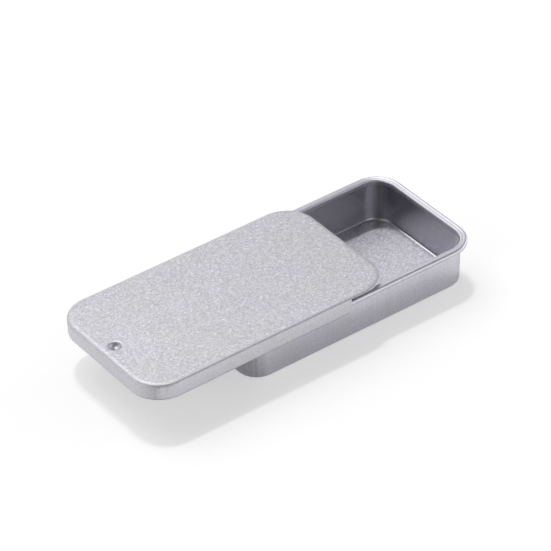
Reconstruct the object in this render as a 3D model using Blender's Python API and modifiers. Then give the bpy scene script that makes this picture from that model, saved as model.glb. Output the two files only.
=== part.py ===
"""Sliding lid tin: a drawn tinplate tray with a curled rim, and a lid that slides along the rim.

+X runs along the slide, towards the end of the tray that the half open lid leaves bare.
The origin is the middle of the tray's underside. All lengths are in metres.
"""

import math

import bmesh
import bpy

# Sheet and running fits
SHEET = 0.00025
SIDE_GAP = 0.0003
END_GAP = 0.0003
PLATE_GAP = 0.00125
LIP_GAP = 0.0005

# Lid, measured over its outer faces
TIN_HEIGHT = 0.0118
LID_LENGTH = 0.060
LID_WIDTH = 0.034
LID_CORNER = 0.0069
LID_EDGE_ROUND = 0.0005
PLATE_EDGE_DEPTH = 0.00065
SKIRT_END_SETBACK = 0.0039
SKIRT_END_ROUND = 0.0008
LIP_BEND = 0.0004
LIP_REACH = 0.0013
LIP_RISE = math.radians(20)
DIMPLE_FROM_FRONT = 0.0034
DIMPLE_RADIUS = 0.00175
DIMPLE_DEPTH = 0.0008
DIMPLE_SHOULDER = 0.0007
LID_OPEN_BY = 0.0234

# Tray, measured over its outer faces
RIM_BACK_REVEAL = 0.0004
RIM_OVERHANG = 0.0014
RIM_INNER_BEND = 0.0005
RIM_CURL = 0.0012
RIM_CURL_TURN = math.radians(205)
RIM_BEAD_RISE = 0.0001
RIM_BEAD_EASE = 0.0003
WALL_DRAFT = 0.00025
BOTTOM_ROUND = 0.0008

# Facets
CORNER_STEPS = 8
BEND_STEPS = 4
EASE_STEPS = 3
CURL_STEPS = 7
DIMPLE_SIDES = 20
DIMPLE_SHOULDER_STEPS = 2
DIMPLE_BOWL_STEPS = 3

# Places that follow from the sizes, taken at the middle of the sheet where they say mid
HALF_SHEET = SHEET / 2
RIM_TOP = TIN_HEIGHT - SHEET - PLATE_GAP
RIM_WIDTH = LID_WIDTH - 2 * (SHEET + SIDE_GAP)
RIM_LENGTH = LID_LENGTH - SHEET - END_GAP - RIM_BACK_REVEAL
RIM_CORNER = LID_CORNER - SHEET - SIDE_GAP
LIP_BEND_MID = LIP_BEND - HALF_SHEET
LIP_RUN = (LIP_REACH - LIP_BEND - LIP_BEND_MID * math.sin(LIP_RISE)) / math.cos(LIP_RISE)
LIP_END_HEIGHT = LIP_BEND - LIP_BEND_MID * math.cos(LIP_RISE) + LIP_RUN * math.sin(LIP_RISE)
LIP_HEIGHT = LIP_END_HEIGHT + HALF_SHEET * math.cos(LIP_RISE)
SKIRT_DROP = SHEET + PLATE_GAP + RIM_CURL + LIP_GAP + LIP_HEIGHT
DIMPLE_SLOPE = 2 * math.atan(DIMPLE_DEPTH / DIMPLE_RADIUS)
DIMPLE_BOWL = DIMPLE_RADIUS / math.sin(DIMPLE_SLOPE) - DIMPLE_SHOULDER
LID_CLOSED_X = (LID_LENGTH - RIM_LENGTH) / 2 - SHEET - END_GAP
LID_REST_X = LID_CLOSED_X - LID_OPEN_BY

# Frosted tinplate, the tray a little darker where it was drawn
LID_COLOUR = (0.60, 0.59, 0.62, 1.0)
TRAY_COLOUR = (0.52, 0.51, 0.55, 1.0)
FROSTED_ROUGHNESS = 0.38
DRAWN_ROUGHNESS = 0.30
SMOOTH_ANGLE = math.radians(50)


def clear_scene():
    for old in list(bpy.data.objects):
        bpy.data.objects.remove(old)


def new_collection(name):
    collection = bpy.data.collections.new(name)
    bpy.context.scene.collection.children.link(collection)
    return collection


def metal(name, colour, roughness):
    material = bpy.data.materials.new(name)
    material.use_nodes = True
    shader = material.node_tree.nodes["Principled BSDF"]
    shader.inputs["Base Color"].default_value = colour
    shader.inputs["Metallic"].default_value = 1.0
    shader.inputs["Roughness"].default_value = roughness
    return material


def arc(centre, radius, start, turn, steps):
    """Points along a circle's arc, both ends included."""
    points = []
    for step in range(steps + 1):
        angle = start + turn * step / steps
        points.append((centre[0] + radius * math.cos(angle), centre[1] + radius * math.sin(angle)))
    return points


def rounded_rectangle(length, width, radius):
    outline = []
    for quarter, (side_x, side_y) in enumerate(((1, 1), (-1, 1), (-1, -1), (1, -1))):
        centre = (side_x * (length / 2 - radius), side_y * (width / 2 - radius))
        outline += arc(centre, radius, quarter * math.pi / 2, math.pi / 2, CORNER_STEPS)
    return outline


def poly_curve(name, points, closed):
    curve = bpy.data.curves.new(name, "CURVE")
    curve.dimensions = "2D"
    spline = curve.splines.new("POLY")
    spline.points.add(len(points) - 1)
    for point, place in zip(spline.points, points):
        point.co = (place[0], place[1], 0.0, 1.0)
    spline.use_cyclic_u = closed
    curve_object = bpy.data.objects.new(name, curve)
    bpy.context.scene.collection.objects.link(curve_object)
    return curve_object


def evaluated_mesh(curve_object):
    depsgraph = bpy.context.evaluated_depsgraph_get()
    return bpy.data.meshes.new_from_object(curve_object.evaluated_get(depsgraph))


def swept_surface(outline, profile):
    """The open sheet that a profile of (outward, upward) points leaves when it goes round the outline."""
    path = poly_curve("sweep_path", outline, True)
    path.data.fill_mode = "NONE"
    inward_profile = [(-outward, upward) for outward, upward in profile]
    section = poly_curve("sweep_section", inward_profile, False)
    path.data.bevel_mode = "OBJECT"
    path.data.bevel_object = section
    mesh = evaluated_mesh(path)
    bpy.data.objects.remove(path)
    bpy.data.objects.remove(section)
    sheet = bmesh.new()
    sheet.from_mesh(mesh)
    bpy.data.meshes.remove(mesh)
    return sheet


def open_edges_at(sheet, height):
    """The free edges that lie at a height, such as the ring round a missing floor."""
    return [edge for edge in sheet.edges
            if edge.is_boundary and all(abs(v.co.z - height) < HALF_SHEET / 2 for v in edge.verts)]


def finish_piece(name, sheet, collection, material):
    """Give the open sheet its thickness and make it an object."""
    bmesh.ops.recalc_face_normals(sheet, faces=sheet.faces)
    mesh = bpy.data.meshes.new(name)
    sheet.to_mesh(mesh)
    sheet.free()
    mesh.materials.append(material)
    mesh.shade_smooth()
    mesh.set_sharp_from_angle(angle=SMOOTH_ANGLE)
    piece = bpy.data.objects.new(name, mesh)
    collection.objects.link(piece)
    thickness = piece.modifiers.new("sheet", "SOLIDIFY")
    thickness.thickness = SHEET
    thickness.offset = 0.0
    thickness.use_even_offset = True
    return piece


def tray_profile():
    """The tray's section at mid sheet, out from the top of the wall, from the floor to the curl's end."""
    rim_reach = HALF_SHEET + RIM_OVERHANG
    bottom_mid = BOTTOM_ROUND - HALF_SHEET
    inner_mid = RIM_INNER_BEND - HALF_SHEET
    curl_mid = RIM_CURL / 2 - HALF_SHEET
    curl_centre = (rim_reach - RIM_CURL / 2, RIM_TOP - RIM_CURL / 2)
    bead_height = RIM_TOP - HALF_SHEET
    flat_height = bead_height - RIM_BEAD_RISE

    profile = arc((-WALL_DRAFT - bottom_mid, BOTTOM_ROUND), bottom_mid, -math.pi / 2, math.pi / 2, BEND_STEPS)
    profile += arc((inner_mid, flat_height - inner_mid), inner_mid, math.pi, -math.pi / 2, BEND_STEPS)
    for step in range(EASE_STEPS):
        share = step / EASE_STEPS
        rise = RIM_BEAD_RISE * (1 - math.cos(math.pi * share)) / 2
        profile.append((curl_centre[0] - RIM_BEAD_EASE * (1 - share), flat_height + rise))
    profile += arc(curl_centre, curl_mid, math.pi / 2, -RIM_CURL_TURN, CURL_STEPS)
    return profile


def make_tray(collection, material):
    rim_reach = HALF_SHEET + RIM_OVERHANG
    outline = rounded_rectangle(RIM_LENGTH - 2 * rim_reach, RIM_WIDTH - 2 * rim_reach, RIM_CORNER - rim_reach)
    sheet = swept_surface(outline, tray_profile())
    bmesh.ops.edgeloop_fill(sheet, edges=open_edges_at(sheet, HALF_SHEET))
    return finish_piece("tray", sheet, collection, material)


def lid_profile():
    """The lid's section at mid sheet, from the plate's edge down the skirt to the lip's free end."""
    edge_mid = LID_EDGE_ROUND - HALF_SHEET
    profile = arc((-LID_EDGE_ROUND, -LID_EDGE_ROUND), edge_mid, math.pi / 2, -math.pi / 2, BEND_STEPS)
    bend_turn = -math.pi / 2 - LIP_RISE
    profile += arc((-LIP_BEND, LIP_BEND - SKIRT_DROP), LIP_BEND_MID, 0.0, bend_turn, BEND_STEPS)
    profile.append((-LIP_REACH, LIP_END_HEIGHT - SKIRT_DROP))
    return profile


def dimple_section():
    """The dimple's (radius, depth) at mid sheet, from its rounded shoulder into its bowl."""
    section = []
    for step in range(1, DIMPLE_SHOULDER_STEPS + 1):
        angle = DIMPLE_SLOPE * step / DIMPLE_SHOULDER_STEPS
        section.append((DIMPLE_RADIUS - DIMPLE_SHOULDER * math.sin(angle), DIMPLE_SHOULDER * (1 - math.cos(angle))))
    for step in range(1, DIMPLE_BOWL_STEPS):
        angle = DIMPLE_SLOPE * (1 - step / DIMPLE_BOWL_STEPS)
        section.append((DIMPLE_BOWL * math.sin(angle), DIMPLE_DEPTH - DIMPLE_BOWL * (1 - math.cos(angle))))
    return section


def press_dimple(sheet, plate_edges):
    """Fill the plate round a dimple that sinks ring by ring, its last ring closed by a flat bottom."""
    centre_x = DIMPLE_FROM_FRONT - LID_LENGTH / 2
    ring = bmesh.ops.create_circle(sheet, segments=DIMPLE_SIDES, radius=DIMPLE_RADIUS)["verts"]
    bmesh.ops.translate(sheet, verts=ring, vec=(centre_x, 0.0, -HALF_SHEET))
    ring_edges = list({edge for vert in ring for edge in vert.link_edges})
    bmesh.ops.triangle_fill(sheet, use_beauty=True, edges=plate_edges + ring_edges)

    for radius, depth in dimple_section():
        grown = bmesh.ops.extrude_edge_only(sheet, edges=ring_edges)["geom"]
        ring = [item for item in grown if isinstance(item, bmesh.types.BMVert)]
        for vert in ring:
            out_x = vert.co.x - centre_x
            scale = radius / math.hypot(out_x, vert.co.y)
            vert.co = (centre_x + out_x * scale, vert.co.y * scale, -HALF_SHEET - depth)
        ring_edges = [item for item in grown if isinstance(item, bmesh.types.BMEdge) and item.is_boundary]
    bmesh.ops.edgeloop_fill(sheet, edges=ring_edges)


def skirt_end_cutter(collection, parent):
    """A block that clears the skirt from the lid's back end and leaves the plate its short turned edge."""
    skirt_end = LID_LENGTH / 2 - LID_CORNER - SKIRT_END_SETBACK
    past_lid = LID_LENGTH / 2 + SKIRT_DROP
    below_lid = -2 * SKIRT_DROP
    round_centre = (skirt_end - SKIRT_END_ROUND, SKIRT_END_ROUND - SKIRT_DROP)
    outline = [(past_lid, -PLATE_EDGE_DEPTH), (skirt_end, -PLATE_EDGE_DEPTH)]
    outline += arc(round_centre, SKIRT_END_ROUND, 0.0, -math.pi / 2, BEND_STEPS)
    outline += [(round_centre[0], below_lid), (past_lid, below_lid)]

    flat = poly_curve("skirt_end_outline", outline, True)
    flat.data.fill_mode = "BOTH"
    flat.data.extrude = LID_WIDTH / 2 + SKIRT_DROP
    mesh = evaluated_mesh(flat)
    bpy.data.objects.remove(flat)
    block = bmesh.new()
    block.from_mesh(mesh)
    bmesh.ops.remove_doubles(block, verts=block.verts, dist=SHEET / 100)
    bmesh.ops.recalc_face_normals(block, faces=block.faces)
    block.to_mesh(mesh)
    block.free()

    cutter = bpy.data.objects.new("skirt_end_cutter", mesh)
    collection.objects.link(cutter)
    cutter.parent = parent
    cutter.rotation_euler = (math.pi / 2, 0.0, 0.0)
    cutter.hide_render = True
    cutter.display_type = "WIRE"
    return cutter


def make_lid(collection, cutters, material):
    slide = bpy.data.objects.new("lid_slide", None)
    slide.location = (LID_REST_X, 0.0, TIN_HEIGHT)
    collection.objects.link(slide)

    sheet = swept_surface(rounded_rectangle(LID_LENGTH, LID_WIDTH, LID_CORNER), lid_profile())
    press_dimple(sheet, open_edges_at(sheet, -HALF_SHEET))
    lid = finish_piece("sliding_lid", sheet, collection, material)
    lid.parent = slide

    clear_ends = lid.modifiers.new("clear_skirt_ends", "BOOLEAN")
    clear_ends.operation = "DIFFERENCE"
    clear_ends.solver = "EXACT"
    clear_ends.object = skirt_end_cutter(cutters, slide)
    return lid


def main():
    clear_scene()
    tin = new_collection("sliding_lid_tin")
    cutters = new_collection("cutters")
    make_tray(tin, metal("drawn_tinplate", TRAY_COLOUR, DRAWN_ROUGHNESS))
    make_lid(tin, cutters, metal("frosted_tinplate", LID_COLOUR, FROSTED_ROUGHNESS))


main()
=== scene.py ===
"""Looks of the sliding lid tin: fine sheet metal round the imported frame, its finish, light and camera.

Lengths are in metres, in the frame's own coordinates: +X along the slide, +Z up out of the tray.
"""

import math

import bmesh
import bpy
from mathutils import Matrix, Vector


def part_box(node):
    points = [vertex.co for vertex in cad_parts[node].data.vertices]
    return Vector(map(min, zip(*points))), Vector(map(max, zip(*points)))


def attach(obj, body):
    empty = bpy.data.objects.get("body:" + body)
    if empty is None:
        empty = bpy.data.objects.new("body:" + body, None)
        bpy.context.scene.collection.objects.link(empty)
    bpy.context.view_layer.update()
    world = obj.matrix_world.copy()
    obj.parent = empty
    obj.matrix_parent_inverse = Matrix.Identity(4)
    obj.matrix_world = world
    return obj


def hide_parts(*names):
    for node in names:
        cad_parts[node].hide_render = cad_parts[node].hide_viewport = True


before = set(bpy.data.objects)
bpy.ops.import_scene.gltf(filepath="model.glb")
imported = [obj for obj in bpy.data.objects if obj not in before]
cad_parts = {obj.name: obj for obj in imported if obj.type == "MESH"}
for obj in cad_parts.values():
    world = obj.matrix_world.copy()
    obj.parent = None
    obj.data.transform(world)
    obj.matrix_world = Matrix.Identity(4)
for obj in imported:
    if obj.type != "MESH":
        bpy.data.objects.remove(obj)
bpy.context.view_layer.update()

MM = 0.001

# Sheet, as the solids have it
SHEET = 0.25 * MM
HALF_SHEET = SHEET / 2

# Lid forms
LID_CORNER = 6.9 * MM
LID_SHOULDER_RUN = 0.75 * MM
LID_SHOULDER_TURN = math.radians(18)
LID_EDGE_ROUND = 0.5 * MM
PLATE_EDGE_DEPTH = 0.35 * MM
SKIRT_END_SETBACK = 3.9 * MM
SKIRT_END_ROUND = 1.3 * MM
LIP_BEND = 0.4 * MM
LIP_REACH = 1.3 * MM
LIP_RISE = math.radians(20)
DIMPLE_FROM_FRONT = 3.4 * MM
DIMPLE_RADIUS = 1.75 * MM
DIMPLE_DEPTH = 0.8 * MM
DIMPLE_SHOULDER = 0.8 * MM
DIMPLE_SLOPE = 2 * math.atan(DIMPLE_DEPTH / DIMPLE_RADIUS)
DIMPLE_BOWL = DIMPLE_RADIUS / math.sin(DIMPLE_SLOPE) - DIMPLE_SHOULDER

# Tray forms
RIM_OVERHANG = 1.4 * MM
RIM_INNER_BEND = 0.4 * MM
RIM_CURL = 1.2 * MM
RIM_CURL_BEND = 0.55 * MM
RIM_CURL_IN = math.radians(115)
RIM_BEAD_RISE = 0.07 * MM
RIM_BEAD_EASE = 0.4 * MM
WALL_DRAFT = 0.25 * MM
BOTTOM_ROUND = 0.8 * MM

# Fineness of the meshes
CORNER_STEPS = 20
SIDE_STEP = 3 * MM
BEND_STEPS = 8
CURL_STEPS = 10
EASE_STEPS = 8
SHOULDER_STEPS = 6
WALL_STEPS = 6
DIMPLE_SIDES = 64
DIMPLE_SHOULDER_STEPS = 10
DIMPLE_BOWL_STEPS = 12
SMOOTH_ANGLE = math.radians(38)

# Camera, from the photo's outline fitted to the solids
PHOTO_SIDE = 551
SENSOR = 36.0
CAMERA_AZIMUTH = math.radians(-35.61)
CAMERA_ELEVATION = math.radians(36.94)
CAMERA_ROLL = math.radians(-1.94)
CAMERA_DISTANCE = 700 * MM
CAMERA_NEAR = CAMERA_DISTANCE / 10
CAMERA_FAR = CAMERA_DISTANCE * 20
CAMERA_FOCAL_PIXELS = 3394
AIM_RIGHT = -8.84 * MM
AIM_UP = 4.40 * MM

# Finish: base colours, and how much lighter or darker than them each stretch is, as a share
LID_COLOUR = (0.58, 0.575, 0.61)
TRAY_COLOUR = (0.62, 0.614, 0.667)
WARM_TINT = (1.0, 0.995, 0.985)
COOL_TINT = (0.985, 0.985, 1.0)
FLOOR_SHADE = -0.02
TRAY_WALL_SHADE = 0.04
SKIRT_SHADE = -0.02
# Painted shade: the dark line outside the foot of the rim's curl and of the lid's skirt, where their shadow
# falls
FOLD_PAINTED_SHADE = -0.40
# Painted shade on the lid's front edge, which dims its highlight
FRONT_EDGE_PAINTED_SHADE = -0.10
# Painted shade in the upright corners, where shade gathers
CORNER_PAINTED_SHADE = -0.24

# Finish: how strongly each kind of mark shows in the colour, as a share of it
GRAIN_COLOUR = 0.34
SPARKLE_COLOUR = 0.22
GLINT_COLOUR = 0.12
MOTTLE_COLOUR = 0.05
STREAK_COLOUR = 0.11
MARK_COLOUR = 0.5
FLOOR_GRAIN = 1.25
EDGE_GRAIN = 0.4

# Finish: how finely each kind of mark repeats, and the noise values where some of them set in
GRAIN_PER_M = 3600.0
SPARKLE_PER_M = 6500.0
MOTTLE_PER_M = 110.0
STREAKS_PER_M = (2600.0, 2600.0, 90.0)
MARKS_PER_M = (1100.0, 1100.0, 30.0)
NOISE_DETAIL = 2.0
NOISE_MIDDLE = 0.5
GLINT_FROM = 0.965
COOL_FROM = 0.4
COOL_FULL = 0.6

# Finish: relief and roughness
GRAIN_HEIGHT = 0.012 * MM
STREAK_HEIGHT = 0.0015 * MM
MARK_HEIGHT = 0.03 * MM
GRAIN_ROUGHNESS = 0.10
PLATE_ROUGHNESS = 0.52
LID_EDGE_ROUGHNESS = 0.56
RIM_ROUGHNESS = 0.42
WALL_ROUGHNESS = 0.25
DIMPLE_ROUGHNESS = 0.48

# Finish: where the stretches of the sheet begin and end, by height or by how the sheet faces
FLAT_FROM = 0.97
FLAT_FULL = 0.995
FRONT_FROM = -0.05
FRONT_FULL = -0.3
FLOOR_ZONE = 1.0 * MM
LID_EDGE_ZONE = 0.7 * MM
FOLD_ZONE = 0.45 * MM
EDGE_BLEND = 0.2 * MM

# Light: a pale room seen low all round, soft windows behind it, and a small key lamp overhead
KEY_TOWARDS = Vector((0.12, 0.35, 0.93)).normalized()
KEY_DISTANCE = 3.0
KEY_LENGTH = 0.40
KEY_WIDTH = 0.20
KEY_POWER = 18.7
WALL_LEVEL = 1.75
WALL_HEIGHT = 0.31
CEILING_LEVEL = 0.03
WHITE = (1.0, 1.0, 1.0, 1.0)
WHITE_LEVEL = 1.0
WINDOWS = (
    # azimuth and elevation in degrees, level, sharpness; a negative level is a darker part of the room
    (96, 51, 1.97, 9.6),
    (185, 12, 1.85, 12.0),
    (222, 8, -0.75, 12.0),
    (268, 30, 0.7, 14.0),
    (34, 0, -1.3, 40.0),
    (350, 12, 1.4, 10.0),
)

# Floor
FLOOR_SIZE = 6.0
FLOOR_DROP = 0.02 * MM
FLOOR_COLOUR = (0.80, 0.80, 0.80, 1.0)
FLOOR_GLOW = 0.37
# How far things over the floor dim its glow in reflections: a painted shade under the tin
FLOOR_PAINTED_SHADE_REACH = 34 * MM


def arc(centre, radius, start, turn, steps):
    """Points along a circle's arc, both ends included."""
    points = []
    for step in range(steps + 1):
        angle = start + turn * step / steps
        points.append((centre[0] + radius * math.cos(angle), centre[1] + radius * math.sin(angle)))
    return points


def stations(length, width, radius):
    """Places round a rounded rectangle, each with the direction that points out of it there."""
    places = []
    for quarter, (side_x, side_y) in enumerate(((1, 1), (-1, 1), (-1, -1), (1, -1))):
        centre = Vector((side_x * (length / 2 - radius), side_y * (width / 2 - radius)))
        for step in range(CORNER_STEPS + 1):
            angle = (quarter + step / CORNER_STEPS) * math.pi / 2
            out = Vector((math.cos(angle), math.sin(angle)))
            places.append((centre + out * radius, out))
        run = (length if quarter % 2 == 0 else width) - 2 * radius
        along = Vector((-out.y, out.x))
        start = places[-1][0]
        count = round(run / SIDE_STEP)
        for step in range(1, count):
            places.append((start + along * run * step / count, out))
    return places


def sweep(places, profile, centre_x):
    """An open sheet and its rings: the profile of (outward, upward) points carried round the places."""
    sheet = bmesh.new()
    rings = []
    for outward, upward in profile:
        ring = []
        for place, out in places:
            at = place + out * outward
            ring.append(sheet.verts.new((at.x + centre_x, at.y, upward)))
        rings.append(ring)
    for lower, upper in zip(rings, rings[1:]):
        for index in range(len(places)):
            after = (index + 1) % len(places)
            sheet.faces.new((lower[index], lower[after], upper[after], upper[index]))
    return sheet, rings


def ring_edges(ring):
    """The edges that join a ring's points, one after the other."""
    edges = []
    for index, vert in enumerate(ring):
        after = ring[(index + 1) % len(ring)]
        edges.append(next(edge for edge in vert.link_edges if edge.other_vert(vert) is after))
    return edges


def scene_object(name, data):
    """A new object in the scene, of a mesh, a lamp or a camera."""
    thing = bpy.data.objects.new(name, data)
    bpy.context.scene.collection.objects.link(thing)
    return thing


def mesh_object(name, work):
    """A new object in the scene from the mesh under work, which is freed."""
    mesh = bpy.data.meshes.new(name)
    work.to_mesh(mesh)
    work.free()
    return scene_object(name, mesh)


def sheet_piece(name, sheet, material, cutter=None):
    """Give the open sheet its thickness, cut it if asked, and keep the result as one mesh."""
    bmesh.ops.recalc_face_normals(sheet, faces=sheet.faces)
    piece = mesh_object(name, sheet)
    rough = piece.data
    thickness = piece.modifiers.new("sheet", "SOLIDIFY")
    thickness.thickness = SHEET
    thickness.offset = 0.0
    thickness.use_even_offset = True
    if cutter:
        cut = piece.modifiers.new("cut", "BOOLEAN")
        cut.operation = "DIFFERENCE"
        cut.solver = "EXACT"
        cut.object = cutter
    depsgraph = bpy.context.evaluated_depsgraph_get()
    mesh = bpy.data.meshes.new_from_object(piece.evaluated_get(depsgraph))
    piece.modifiers.clear()
    piece.data = mesh
    bpy.data.meshes.remove(rough)
    mesh.name = name
    mesh.materials.clear()
    mesh.materials.append(material)
    mesh.shade_smooth()
    mesh.set_sharp_from_angle(angle=SMOOTH_ANGLE)
    return piece


def tray_profile(rim_top):
    """The tray's section at mid sheet, out from the top of the wall, from the floor to the curl's end."""
    rim_reach = HALF_SHEET + RIM_OVERHANG
    bottom_mid = BOTTOM_ROUND - HALF_SHEET
    inner_mid = RIM_INNER_BEND - HALF_SHEET
    curl_mid = RIM_CURL_BEND - HALF_SHEET
    curl_x = rim_reach - RIM_CURL_BEND
    flat_height = rim_top - HALF_SHEET - RIM_BEAD_RISE

    bottom_centre = (-WALL_DRAFT - bottom_mid, BOTTOM_ROUND)
    profile = arc(bottom_centre, bottom_mid, -math.pi / 2, math.pi / 2, BEND_STEPS)
    foot = profile[-1]
    bend = arc((inner_mid, flat_height - inner_mid), inner_mid, math.pi, -math.pi / 2, BEND_STEPS)
    head = bend[0]
    for step in range(1, WALL_STEPS):
        share = step / WALL_STEPS
        profile.append((foot[0] + (head[0] - foot[0]) * share, foot[1] + (head[1] - foot[1]) * share))
    profile += bend
    for step in range(EASE_STEPS):
        share = step / EASE_STEPS
        rise = RIM_BEAD_RISE * (1 - math.cos(math.pi * share)) / 2
        profile.append((curl_x - RIM_BEAD_EASE * (1 - share), flat_height + rise))
    over = (curl_x, rim_top - RIM_CURL_BEND)
    under = (curl_x, rim_top - RIM_CURL + RIM_CURL_BEND)
    profile += arc(over, curl_mid, math.pi / 2, -math.pi / 2, CURL_STEPS)
    profile += arc(under, curl_mid, 0.0, -RIM_CURL_IN, CURL_STEPS)
    return profile


def make_tray(material):
    low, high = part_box("tray")
    rim_reach = HALF_SHEET + RIM_OVERHANG
    length = high.x - low.x - 2 * rim_reach
    width = high.y - low.y - 2 * rim_reach
    corner = LID_CORNER - (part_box("sliding_lid")[1].y - high.y) - rim_reach
    sheet, rings = sweep(stations(length, width, corner), tray_profile(high.z), (low.x + high.x) / 2)
    bmesh.ops.edgeloop_fill(sheet, edges=ring_edges(rings[0]))
    tray = sheet_piece("tray_shell", sheet, material)
    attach(tray, "tray")
    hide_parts("tray")


def lid_profile(skirt_drop):
    """The lid's section at mid sheet below its top, from the plate's edge to the lip's free end."""
    edge_mid = LID_EDGE_ROUND - HALF_SHEET
    bend_mid = LIP_BEND - HALF_SHEET
    shoulder_mid = LID_SHOULDER_RUN / math.sin(LID_SHOULDER_TURN)
    shoulder_x = -HALF_SHEET - LID_SHOULDER_RUN - edge_mid * (1 - math.sin(LID_SHOULDER_TURN))
    shoulder_start = (shoulder_x, -HALF_SHEET - shoulder_mid)
    profile = arc(shoulder_start, shoulder_mid, math.pi / 2, -LID_SHOULDER_TURN, SHOULDER_STEPS)
    edge_start = math.pi / 2 - LID_SHOULDER_TURN
    edge_centre = (-LID_EDGE_ROUND, profile[-1][1] - edge_mid * math.sin(edge_start))
    profile += arc(edge_centre, edge_mid, edge_start, -edge_start, BEND_STEPS)[1:]
    profile += arc((-LIP_BEND, LIP_BEND - skirt_drop), bend_mid, 0.0, -math.pi / 2 - LIP_RISE, BEND_STEPS)
    end_rise = (LIP_REACH + profile[-1][0]) * math.tan(LIP_RISE)
    profile.append((-LIP_REACH, profile[-1][1] + end_rise))
    return profile


def dimple_section():
    """The dimple's (radius, depth) at mid sheet, from its rounded shoulder into its bowl."""
    section = []
    for step in range(1, DIMPLE_SHOULDER_STEPS + 1):
        angle = DIMPLE_SLOPE * step / DIMPLE_SHOULDER_STEPS
        inset = DIMPLE_SHOULDER * math.sin(angle)
        section.append((DIMPLE_RADIUS - inset, DIMPLE_SHOULDER * (1 - math.cos(angle))))
    for step in range(1, DIMPLE_BOWL_STEPS):
        angle = DIMPLE_SLOPE * (1 - step / DIMPLE_BOWL_STEPS)
        section.append((DIMPLE_BOWL * math.sin(angle), DIMPLE_DEPTH - DIMPLE_BOWL * (1 - math.cos(angle))))
    return section


def press_dimple(sheet, plate_edges, centre_x, top):
    """Fill the plate round a dimple that sinks ring by ring."""
    ring = bmesh.ops.create_circle(sheet, segments=DIMPLE_SIDES, radius=DIMPLE_RADIUS)["verts"]
    bmesh.ops.translate(sheet, verts=ring, vec=(centre_x, 0.0, top - HALF_SHEET))
    edges = list({edge for vert in ring for edge in vert.link_edges})
    bmesh.ops.triangle_fill(sheet, use_beauty=True, edges=plate_edges + edges)
    for radius, depth in dimple_section():
        grown = bmesh.ops.extrude_edge_only(sheet, edges=edges)["geom"]
        for vert in grown:
            if isinstance(vert, bmesh.types.BMVert):
                out = Vector((vert.co.x - centre_x, vert.co.y)).normalized() * radius
                vert.co = (centre_x + out.x, out.y, top - HALF_SHEET - depth)
        edges = [item for item in grown if isinstance(item, bmesh.types.BMEdge) and item.is_boundary]
    bmesh.ops.edgeloop_fill(sheet, edges=edges)


def skirt_end_cutter(low, high, skirt_drop):
    """A block that clears the skirt from the lid's back end and leaves the plate its short turned edge.

    It stands out past the lid behind, below and at both sides, by as much as the skirt drops.
    """
    skirt_end = high.x - LID_CORNER - SKIRT_END_SETBACK
    edge_foot = high.z - PLATE_EDGE_DEPTH
    round_centre = (skirt_end - SKIRT_END_ROUND, low.z + SKIRT_END_ROUND)
    beyond = high.x + skirt_drop
    beneath = low.z - skirt_drop
    outline = [(beyond, edge_foot), (skirt_end, edge_foot)]
    outline += arc(round_centre, SKIRT_END_ROUND, 0.0, -math.pi / 2, BEND_STEPS)
    outline += [(round_centre[0], beneath), (beyond, beneath)]

    block = bmesh.new()
    sides = []
    for side in (low.y - skirt_drop, high.y + skirt_drop):
        sides.append([block.verts.new((x, side, z)) for x, z in outline])
    near, far = sides
    block.faces.new(near)
    block.faces.new(list(reversed(far)))
    for index in range(len(outline)):
        after = (index + 1) % len(outline)
        block.faces.new((near[after], near[index], far[index], far[after]))
    bmesh.ops.recalc_face_normals(block, faces=block.faces)
    return mesh_object("skirt_end_cutter", block)


def make_lid(material):
    low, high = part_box("sliding_lid")
    top = high.z
    skirt_drop = top - low.z
    profile = [(outward, top + upward) for outward, upward in lid_profile(skirt_drop)]
    places = stations(high.x - low.x, high.y - low.y, LID_CORNER)
    sheet, rings = sweep(places, profile, (low.x + high.x) / 2)
    press_dimple(sheet, ring_edges(rings[0]), low.x + DIMPLE_FROM_FRONT, top)
    cutter = skirt_end_cutter(low, high, skirt_drop)
    lid = sheet_piece("lid_shell", sheet, material, cutter)
    bpy.data.objects.remove(cutter)
    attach(lid, "lid")
    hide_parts("sliding_lid")


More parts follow.
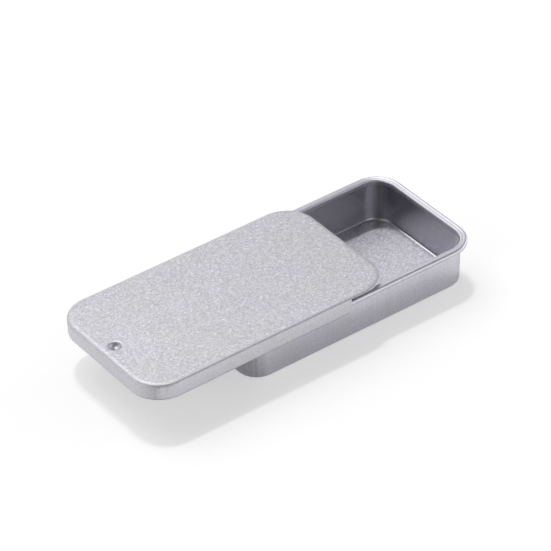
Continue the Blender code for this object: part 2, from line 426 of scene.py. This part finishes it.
class Nodes:
    """The node tree of a material or the world, with short calls for what is used here."""

    def __init__(self, owner):
        owner.use_nodes = True
        self.tree = owner.node_tree

    def node(self, kind, links=(), **settings):
        made = self.tree.nodes.new(kind)
        for key, value in settings.items():
            setattr(made, key, value)
        for socket, source in links:
            self.link(source, made.inputs[socket])
        return made

    def link(self, source, target):
        """Feed a node's output to the target, or set the target to a plain value."""
        if isinstance(source, bpy.types.NodeSocket):
            self.tree.links.new(source, target)
        else:
            target.default_value = source

    def maths(self, operation, first, second=0.0):
        return self.node("ShaderNodeMath", [(0, first), (1, second)], operation=operation).outputs["Value"]

    def joined(self, operation, values):
        result = values[0]
        for value in values[1:]:
            result = self.maths(operation, result, value)
        return result

    def total(self, *values):
        return self.joined("ADD", values)

    def product(self, *values):
        return self.joined("MULTIPLY", values)

    def swing(self, noise, amount):
        """The noise as a swing about zero, times an amount."""
        return self.product(self.maths("SUBTRACT", noise, NOISE_MIDDLE), amount)

    def mix(self, share, none, full):
        """The value none where the share is 0, full where it is 1, and blended between."""
        return self.node("ShaderNodeMix", [("Factor", share), ("A", none), ("B", full)]).outputs["Result"]

    def spread(self, value, low, high, to_low, to_high, smooth=False):
        """The value's range from low to high, carried over to another range."""
        made = self.node("ShaderNodeMapRange", [
            ("Value", value), ("From Min", low), ("From Max", high), ("To Min", to_low), ("To Max", to_high),
        ])
        made.interpolation_type = "SMOOTHSTEP" if smooth else "LINEAR"
        return made.outputs["Result"]

    def vector(self, operation, first, second, output="Vector"):
        made = self.node("ShaderNodeVectorMath", [(0, first), (1, second)], operation=operation)
        return made.outputs[output]

    def noise(self, place, scale):
        """Soft noise, with scale spots to the metre, or with a count of its own along X, Y and Z each."""
        if isinstance(scale, tuple):
            place = self.vector("MULTIPLY", place, scale)
            scale = 1.0
        made = self.node("ShaderNodeTexNoise", [
            ("Vector", place), ("Scale", scale), ("Detail", NOISE_DETAIL),
        ])
        return made.outputs["Fac"]

    def cells(self, place, scale):
        """Small cells, each with a random value of its own."""
        made = self.node("ShaderNodeTexVoronoi", [("Vector", place), ("Scale", scale)])
        return self.node("ShaderNodeSeparateColor", [("Color", made.outputs["Color"])]).outputs["Red"]


class Tinplate(Nodes):
    """Tinplate with a frosted, sparkling grain on its flats and fine draw marks on its bent stretches.

    Bent stretches above the height edge_above are rims and edges, and those below it are drawn walls.
    """

    def __init__(self, name, edge_above):
        self.material = bpy.data.materials.new(name)
        super().__init__(self.material)
        self.place = self.node("ShaderNodeTexCoord").outputs["Object"]
        self.normal = self.node("ShaderNodeNewGeometry").outputs["Normal"]
        self.height = self.node("ShaderNodeSeparateXYZ", [("Vector", self.place)]).outputs["Z"]
        self.facing = self.node("ShaderNodeSeparateXYZ", [("Vector", self.normal)]).outputs

        level = self.maths("ABSOLUTE", self.facing["Z"])
        self.flat = self.spread(level, FLAT_FROM, FLAT_FULL, 0.0, 1.0, smooth=True)
        edge_from, edge_full = edge_above - EDGE_BLEND, edge_above + EDGE_BLEND
        self.on_edge = self.spread(self.height, edge_from, edge_full, 0.0, 1.0, smooth=True)
        # The square of a double angle's sine: 0 on straight walls, 1 half way round an upright corner
        double_sine = self.product(self.facing["X"], self.facing["Y"], 2.0)
        self.corner = self.product(double_sine, double_sine)

        self.grain = self.cells(self.place, GRAIN_PER_M)
        self.sparkle = self.noise(self.place, SPARKLE_PER_M)
        self.mottle = self.noise(self.place, MOTTLE_PER_M)
        self.streaks = self.noise(self.place, STREAKS_PER_M)
        self.marks = self.noise(self.place, MARKS_PER_M)

    def grain_shade(self):
        return self.total(self.swing(self.grain, GRAIN_COLOUR), self.swing(self.sparkle, SPARKLE_COLOUR))

    def flat_shade(self):
        """The frosted grain, with a glint in its lightest cells."""
        glints = self.maths("GREATER_THAN", self.grain, GLINT_FROM)
        return self.total(self.grain_shade(), self.product(glints, GLINT_COLOUR))

    def bend_shade(self, wall_shade):
        """Softer grain with streaks, corner draw marks over painted shade in the upright corners, and the
        walls' own shade.
        """
        # Corner draw marks, on a painted shade that darkens the corners
        corner_marks_and_painted_shade = self.total(self.swing(self.marks, MARK_COLOUR), CORNER_PAINTED_SHADE)
        return self.total(
            self.product(self.grain_shade(), EDGE_GRAIN),
            self.swing(self.streaks, STREAK_COLOUR),
            self.mix(self.on_edge, wall_shade, 0.0),
            self.product(corner_marks_and_painted_shade, self.corner),
        )

    def fold_painted_shade(self, foot):
        """Painted shade: a dark line outside a turned edge, just above the height of its foot, where the
        fold's shadow falls.
        """
        outward = self.vector("DOT_PRODUCT", self.normal, self.place, "Value")
        top = foot + FOLD_ZONE
        above_foot = self.spread(self.height, foot - EDGE_BLEND, foot, 0.0, 1.0)
        below_top = self.spread(self.height, top - EDGE_BLEND, top, 1.0, 0.0)
        return self.product(self.maths("GREATER_THAN", outward, 0.0), FOLD_PAINTED_SHADE, above_foot, below_top)

    def front_edge_painted_shade(self):
        """Painted shade on the edge across the front end, which dims the highlight there."""
        front = self.spread(self.facing["X"], FRONT_FULL, FRONT_FROM, FRONT_EDGE_PAINTED_SHADE, 0.0)
        return self.product(front, self.on_edge)

    def tinted(self, colour, shade):
        """The colour, made lighter or darker by the shade and a little warmer or cooler by the mottle."""
        coolness = self.spread(self.mottle, COOL_FROM, COOL_FULL, 0.0, 1.0, smooth=True)
        tint = self.node("ShaderNodeMix", [
            ("Factor", coolness), ("A", WARM_TINT), ("B", COOL_TINT),
        ], data_type="VECTOR")
        shaded = self.node("ShaderNodeVectorMath", [
            (0, colour), ("Scale", self.total(shade, 1.0)),
        ], operation="SCALE")
        return self.vector("MULTIPLY", shaded.outputs["Vector"], tint.outputs["Result"])

    def relief(self):
        """The bumps, in metres: grain on the flats, and streaks and corner marks on the bends."""
        corner_marks = self.product(self.marks, self.corner, MARK_HEIGHT)
        on_bend = self.total(self.product(self.streaks, STREAK_HEIGHT), corner_marks)
        raised = self.mix(self.flat, on_bend, self.product(self.sparkle, GRAIN_HEIGHT))
        bump = self.node("ShaderNodeBump", [("Height", raised), ("Strength", 1.0), ("Distance", 1.0)])
        return bump.outputs["Normal"]

    def finish(self, colour, flat_shade, bend_shade, bend_roughness):
        """Join the flats' finish and the bends' on the shader, and return the material."""
        shader = self.tree.nodes["Principled BSDF"]
        shade = self.mix(self.flat, bend_shade, flat_shade)
        mottled = self.total(shade, self.swing(self.mottle, MOTTLE_COLOUR))
        self.link(self.tinted(colour, mottled), shader.inputs["Base Color"])
        roughness = self.mix(self.flat, bend_roughness, PLATE_ROUGHNESS)
        varied = self.total(roughness, self.swing(self.sparkle, GRAIN_ROUGHNESS))
        self.link(varied, shader.inputs["Roughness"])
        self.link(self.relief(), shader.inputs["Normal"])
        shader.inputs["Metallic"].default_value = 1.0
        return self.material


def drawn_tinplate():
    """The tray's finish: grain on the floor alone, satin walls, and a rim with a painted shade line at its
    foot.
    """
    rim_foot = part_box("tray")[1].z - RIM_CURL
    made = Tinplate("drawn_tinplate", rim_foot)
    made.flat = made.product(made.flat, made.maths("LESS_THAN", made.height, FLOOR_ZONE))
    flat_shade = made.total(made.product(made.flat_shade(), FLOOR_GRAIN), FLOOR_SHADE)
    bend_shade = made.total(made.bend_shade(TRAY_WALL_SHADE), made.fold_painted_shade(rim_foot))
    bend_roughness = made.mix(made.on_edge, WALL_ROUGHNESS, RIM_ROUGHNESS)
    return made.finish(TRAY_COLOUR, flat_shade, bend_shade, bend_roughness)


def frosted_tinplate():
    """The lid's finish: grain on the top, polished off in the pressed dimple, painted shade on its front
    edge, and a painted shade line at its foot.
    """
    low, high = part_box("sliding_lid")
    made = Tinplate("frosted_tinplate", high.z - LID_EDGE_ZONE)
    dimple = (low.x + DIMPLE_FROM_FRONT, 0.0, high.z)
    off = made.vector("DISTANCE", made.place, dimple, "Value")
    unpressed = made.spread(off, DIMPLE_RADIUS - EDGE_BLEND, DIMPLE_RADIUS, 0.0, 1.0)
    made.flat = made.product(made.flat, unpressed)
    bend_shade = made.total(made.bend_shade(SKIRT_SHADE), made.front_edge_painted_shade(), made.fold_painted_shade(low.z))
    bend_roughness = made.mix(made.on_edge, WALL_ROUGHNESS, LID_EDGE_ROUGHNESS)
    bend_roughness = made.mix(unpressed, DIMPLE_ROUGHNESS, bend_roughness)
    return made.finish(LID_COLOUR, made.flat_shade(), bend_shade, bend_roughness)


def make_camera():
    level_right = Vector((math.cos(CAMERA_AZIMUTH), math.sin(CAMERA_AZIMUTH), 0.0))
    back = Vector((
        math.sin(CAMERA_AZIMUTH) * math.cos(CAMERA_ELEVATION),
        -math.cos(CAMERA_AZIMUTH) * math.cos(CAMERA_ELEVATION),
        math.sin(CAMERA_ELEVATION),
    ))
    level_up = back.cross(level_right)
    right = level_right * math.cos(CAMERA_ROLL) + level_up * math.sin(CAMERA_ROLL)
    up = back.cross(right)
    data = bpy.data.cameras.new("camera")
    data.sensor_width = SENSOR
    data.lens = SENSOR * CAMERA_FOCAL_PIXELS / PHOTO_SIDE
    data.clip_start = CAMERA_NEAR
    data.clip_end = CAMERA_FAR
    camera = scene_object("camera", data)
    camera.matrix_world = Matrix((right, up, back)).transposed().to_4x4()
    camera.location = back * CAMERA_DISTANCE + right * AIM_RIGHT + up * AIM_UP
    bpy.context.scene.camera = camera


def towards(azimuth, elevation):
    """The direction that has this azimuth and elevation, both in degrees."""
    turn = math.radians(azimuth)
    lift = math.radians(elevation)
    return Vector((math.cos(turn) * math.cos(lift), math.sin(turn) * math.cos(lift), math.sin(lift)))


def make_world():
    """Pale walls that fade upwards and soft windows; the camera sees it white."""
    world = bpy.data.worlds.new("room")
    bpy.context.scene.world = world
    made = Nodes(world)
    heading = made.node("ShaderNodeTexCoord").outputs["Generated"]
    height = made.node("ShaderNodeSeparateXYZ", [("Vector", heading)]).outputs["Z"]
    share = made.maths("DIVIDE", height, WALL_HEIGHT)
    fade = made.maths("EXPONENT", made.product(share, share, -1.0))
    light = made.total(made.product(fade, WALL_LEVEL), CEILING_LEVEL)
    for azimuth, elevation, level, sharpness in WINDOWS:
        nearness = made.vector("DOT_PRODUCT", heading, towards(azimuth, elevation), "Value")
        off = made.product(made.maths("SUBTRACT", nearness, 1.0), sharpness)
        light = made.total(light, made.product(made.maths("EXPONENT", off), level))
    light = made.maths("MAXIMUM", light, 0.0)
    to_camera = made.node("ShaderNodeLightPath").outputs["Is Camera Ray"]
    background = made.tree.nodes["Background"]
    background.inputs["Color"].default_value = WHITE
    made.link(made.mix(to_camera, light, WHITE_LEVEL), background.inputs["Strength"])


def make_key():
    data = bpy.data.lights.new("key", "AREA")
    data.shape = "RECTANGLE"
    data.size = KEY_LENGTH
    data.size_y = KEY_WIDTH
    data.energy = KEY_POWER
    key = scene_object("key", data)
    along = Vector((1.0, 0.0, 0.0))
    across = KEY_TOWARDS.cross(along).normalized()
    key.matrix_world = Matrix((along, across, KEY_TOWARDS)).transposed().to_4x4()
    key.location = KEY_TOWARDS * KEY_DISTANCE


def pale_floor():
    """A pale finish that glows for the camera and, where nothing stands over it, for reflections; that
    fall-off is a painted shade under the tin.
    """
    material = bpy.data.materials.new("pale_floor")
    made = Nodes(material)
    made.tree.nodes.clear()
    diffuse = made.node("ShaderNodeBsdfDiffuse", [("Color", FLOOR_COLOUR)])
    path = made.node("ShaderNodeLightPath").outputs
    mirrored = made.maths("MAXIMUM", path["Is Glossy Ray"], path["Is Transmission Ray"])
    # The glow seen in reflections is dimmed where things stand over the floor: painted shade
    painted_shade_openness = made.node("ShaderNodeAmbientOcclusion", [("Distance", FLOOR_PAINTED_SHADE_REACH)]).outputs["AO"]
    seen = made.total(path["Is Camera Ray"], made.product(mirrored, painted_shade_openness))
    glow = made.node("ShaderNodeEmission", [("Strength", made.product(seen, FLOOR_GLOW))])
    both = made.node("ShaderNodeAddShader", [(0, diffuse.outputs["BSDF"]), (1, glow.outputs["Emission"])])
    made.node("ShaderNodeOutputMaterial", [("Surface", both.outputs["Shader"])])
    return material


def make_floor():
    sheet = bmesh.new()
    half = FLOOR_SIZE / 2
    corners = ((-half, -half), (half, -half), (half, half), (-half, half))
    sheet.faces.new([sheet.verts.new((x, y, -FLOOR_DROP)) for x, y in corners])
    floor = mesh_object("floor", sheet)
    floor.data.materials.append(pale_floor())


bpy.context.scene.view_settings.view_transform = "Standard"
make_camera()
make_world()
make_key()
make_floor()
make_tray(drawn_tinplate())
make_lid(frosted_tinplate())
